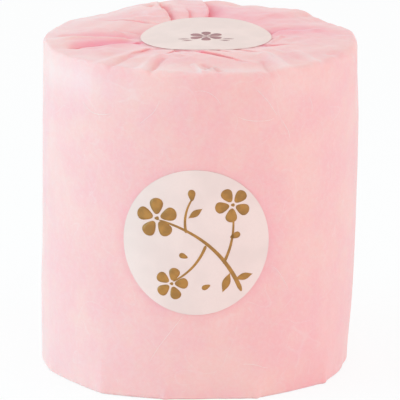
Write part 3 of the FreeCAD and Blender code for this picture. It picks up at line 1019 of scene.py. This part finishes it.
def make_print(name, shapes, place, thickness, material):
    """The print on a label: one mesh of flat shapes."""
    piece = to_mesh(name, *joined(slab(shape, place, thickness) for shape in shapes))
    piece.data.materials.append(material)
    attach(piece, "root")


class WRAPPEDROLL_OT_front_label(bpy.types.Operator):
    """Stick the front label to the side and print a flowering twig on it"""

    bl_idname = "wrapped_roll.front_label"
    bl_label = "Front Label"

    def execute(self, context):
        settings = context.scene.wrapped_roll_labels
        make_label(
            "front_seal", "front_label", FRONT_LABEL_RADIUS, on_front, FRONT_LABEL_THICKNESS,
            label_paper("front_label_stock", settings.front_colour),
        )
        make_print(
            "front_print", front_design(), on_front, settings.print_thickness,
            printed_ink("gold_brown_ink", settings.print_colour, 0.15),
        )
        return {"FINISHED"}


class WRAPPEDROLL_OT_top_label(bpy.types.Operator):
    """Lay the top label over the gathered paper and print a small rosette on it"""

    bl_idname = "wrapped_roll.top_label"
    bl_label = "Top Label"

    def execute(self, context):
        settings = context.scene.wrapped_roll_labels
        make_label(
            "top_seal", "top_label", TOP_LABEL_RADIUS, on_top, TOP_LABEL_THICKNESS,
            label_paper("top_label_stock", settings.top_colour),
        )
        make_print(
            "top_print", top_design(), on_top, settings.print_thickness,
            printed_ink("mauve_ink", settings.mark_colour, 0.0),
        )
        return {"FINISHED"}


# The stage. The camera and the lights aim at the middle of the roll.

AIM = Vector((0.0, 0.0, ROLL_HEIGHT / 2 * MM))
WHITE = (1.0, 1.0, 1.0, 1.0)


def add_camera(settings):
    data = bpy.data.cameras.new("camera")
    data.lens = data.sensor_width * settings.distance / settings.view_width
    data.shift_x = 0.0015
    data.shift_y = 0.0008
    camera = add_object("camera", data)
    back = Vector((0.0, -math.cos(settings.elevation), math.sin(settings.elevation)))
    place = Matrix.Translation(AIM + settings.distance * back)
    tilt = Matrix.Rotation(math.pi / 2 - settings.elevation, 4, "X")
    camera.matrix_world = place @ tilt @ Matrix.Rotation(settings.roll, 4, "Z")
    bpy.context.scene.camera = camera


def add_light(name, azimuth, elevation, distance, size, power, colour):
    """A square soft light that faces the middle of the roll."""
    data = bpy.data.lights.new(name, "AREA")
    data.shape = "SQUARE"
    data.size = size
    data.energy = power
    data.color = colour
    lamp = add_object(name, data)
    level, up = unit(elevation)
    away = Vector((*(level * unit(azimuth)), up))
    lamp.location = AIM + distance * away
    lamp.rotation_euler = away.to_track_quat("Z", "Y").to_euler()


def seen_directly(tree):
    """1 for what the camera sees, also by way of gloss or glass, and 0 for the light on things."""
    path = tree.node("ShaderNodeLightPath")
    seen = tree.math("MAXIMUM", path.outputs["Is Camera Ray"], path.outputs["Is Glossy Ray"])
    return tree.math("MAXIMUM", seen, path.outputs["Is Transmission Ray"])


def add_room(settings):
    world = bpy.data.worlds.new("room")
    tree = Tree(world)
    shown = tree.node("ShaderNodeBackground", {"Color": WHITE, "Strength": 1.0})
    lit = tree.node("ShaderNodeBackground", {"Color": WHITE, "Strength": settings.room_light})
    tree.out(tree.blend(seen_directly(tree), lit, shown), "ShaderNodeOutputWorld")
    bpy.context.scene.world = world


def floor_material(shadow):
    """A white floor: what the camera sees of it is mostly its own white, with some shadow left."""
    material = bpy.data.materials.new("floor")
    tree = Tree(material)
    plain = tree.node("ShaderNodeBsdfDiffuse", {"Color": (0.96, 0.96, 0.96, 1.0)})
    shine = tree.node("ShaderNodeEmission", {"Color": WHITE, "Strength": 1.0})
    seen = tree.math("MULTIPLY", seen_directly(tree), 1.0 - shadow)
    tree.out(tree.blend(seen, plain, shine))
    return material


def add_floor(settings):
    half = 1500.0
    corners = [(-half, -half, 0.0), (half, -half, 0.0), (half, half, 0.0), (-half, half, 0.0)]
    floor = to_mesh("floor", corners, [(0, 1, 2, 3)])
    floor.data.materials.append(floor_material(settings.floor_shadow))


class WRAPPEDROLL_OT_stage(bpy.types.Operator):
    """Set the camera, the soft lights, the white room and the floor"""

    bl_idname = "wrapped_roll.stage"
    bl_label = "Stage"

    def execute(self, context):
        settings = context.scene.wrapped_roll_stage
        context.scene.view_settings.view_transform = "Standard"
        add_camera(settings)
        add_light("left_softbox", 196.0, 8.0, 0.9, 0.7, settings.left_light, (0.3, 0.88, 1.0))
        add_light("right_softbox", 336.0, 12.0, 1.0, 0.6, settings.right_light, (0.6, 0.93, 1.0))
        add_room(settings)
        add_floor(settings)
        return {"FINISHED"}


class WRAPPEDROLL_PT_panel(bpy.types.Panel):
    """Lists the pieces of the wrapped roll and their settings"""

    bl_label = "Wrapped Roll"
    bl_idname = "WRAPPEDROLL_PT_panel"
    bl_space_type = "VIEW_3D"
    bl_region_type = "UI"
    bl_category = "Wrapped Roll"

    def draw(self, context):
        layout = self.layout
        for name, (_, *operators) in GROUPS.items():
            column = layout.column()
            settings = getattr(context.scene, name)
            for title in settings.__annotations__:
                column.prop(settings, title)
            for operator in operators:
                column.operator(operator.bl_idname)


# Each group of settings, and the operators that use it.
GROUPS = {
    "wrapped_roll_paper": (WrappedRollPaper, WRAPPEDROLL_OT_wrapping, WRAPPEDROLL_OT_fibres),
    "wrapped_roll_labels": (WrappedRollLabels, WRAPPEDROLL_OT_front_label, WRAPPEDROLL_OT_top_label),
    "wrapped_roll_stage": (WrappedRollStage, WRAPPEDROLL_OT_stage),
}
CLASSES = [item for group in GROUPS.values() for item in group] + [WRAPPEDROLL_PT_panel]


def register():
    for item in CLASSES:
        bpy.utils.register_class(item)
    for name, (group, *_) in GROUPS.items():
        setattr(bpy.types.Scene, name, PointerProperty(type=group))


def unregister():
    for name in GROUPS:
        delattr(bpy.types.Scene, name)
    for item in reversed(CLASSES):
        bpy.utils.unregister_class(item)


def main():
    register()
    bpy.ops.wrapped_roll.wrapping()
    bpy.ops.wrapped_roll.fibres()
    bpy.ops.wrapped_roll.front_label()
    bpy.ops.wrapped_roll.top_label()
    bpy.ops.wrapped_roll.stage()


if __name__ == "__main__":
    main()
